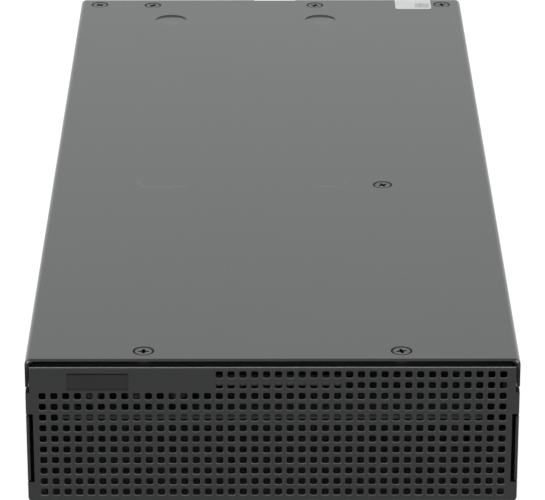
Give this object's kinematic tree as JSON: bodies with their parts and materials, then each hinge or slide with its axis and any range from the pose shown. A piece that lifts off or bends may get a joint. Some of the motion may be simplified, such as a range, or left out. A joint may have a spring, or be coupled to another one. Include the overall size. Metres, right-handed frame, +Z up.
{
  "type": "rack power shelf",
  "caption": "Slim rack power shelf: folded steel case with a perforated front, a screwed flat cover, output sockets and a pull-out supply module at the rear.",
  "frame": {"origin": "on the underside of the floor, under the middle of the case", "axes": "+X to the right seen from the front, +Y from the front to the rear, +Z up"},
  "size_m": [0.1362, 0.3278, 0.0441],
  "materials": {
    "case_paint": "satin powder coat",
    "badge": "satin",
    "zinc_steel": "zinc plated, satin",
    "black_screw": "black oxide",
    "sticker": "matt",
    "board": "satin solder mask",
    "brass": "satin",
    "copper": "satin, tinned at the joints",
    "capacitor": "gloss sleeve",
    "black_plastic": "fine texture",
    "latch_plastic": "satin",
    "lens": "clear",
    "ferrite": "matt",
    "bare_aluminium": "extruded"
  },
  "bodies": {
    "shelf": {"chassis_tray": "case_paint", "front_panel": "case_paint", "badge_plate": "badge", "panel_stiffener": "zinc_steel", "front_spacers": "zinc_steel", "rear_panel": "case_paint", "top_cover": "case_paint", "cover_screws": "black_screw", "rear_sticker": "sticker", "bay_wall_left": "zinc_steel", "bay_wall_right": "zinc_steel", "bracket_nuts": "zinc_steel", "distribution_board": "board", "board_posts": "zinc_steel", "board_screws": "zinc_steel", "board_capacitors": "capacitor", "bus_bars": "copper", "psu_receptacle": "black_plastic", "output_socket_lower": "black_plastic", "output_socket_upper": "black_plastic", "output_pins": "brass", "earth_washer": "zinc_steel", "earth_screw": "zinc_steel", "status_lens": "lens"},
    "module": {"psu_case": "zinc_steel", "psu_face": "zinc_steel", "psu_lid": "zinc_steel", "psu_screws": "black_screw", "psu_board": "board", "psu_board_posts": "zinc_steel", "psu_transformer": "ferrite", "psu_capacitors": "capacitor", "psu_heat_sinks": "bare_aluminium", "ac_inlet": "black_plastic", "inlet_pins": "brass", "fan_frame": "black_plastic", "psu_lens": "lens", "latch_pin": "zinc_steel", "handle_ears": "black_plastic"},
    "rotor": {"fan_rotor": "black_plastic"},
    "latch": {"release_latch": "latch_plastic"},
    "handle": {"pull_handle": "black_plastic"}
  },
  "joints": [
    {"name": "module_slide", "type": "slide", "parent": "shelf", "child": "module", "axis": [0, 1, 0], "range_m": [0, 0.19]},
    {"name": "fan_spin", "type": "hinge", "parent": "module", "child": "rotor", "pos_m": [-0.01525, 0.12025, 0.0207], "axis": [0, 1, 0], "continuous": true},
    {"name": "latch_press", "type": "hinge", "parent": "module", "child": "latch", "pos_m": [0.0076, 0.11845, 0.02135], "axis": [0, 0, 1], "range_deg": [-3.5, 4], "stiffness_Nm_per_rad": 0.05, "springref_deg": -3.5},
    {"name": "handle_fold", "type": "hinge", "parent": "module", "child": "handle", "pos_m": [-0.0125, 0.16025, 0.02135], "axis": [0, 0, 1], "range_deg": [0, 90]}
  ]
}
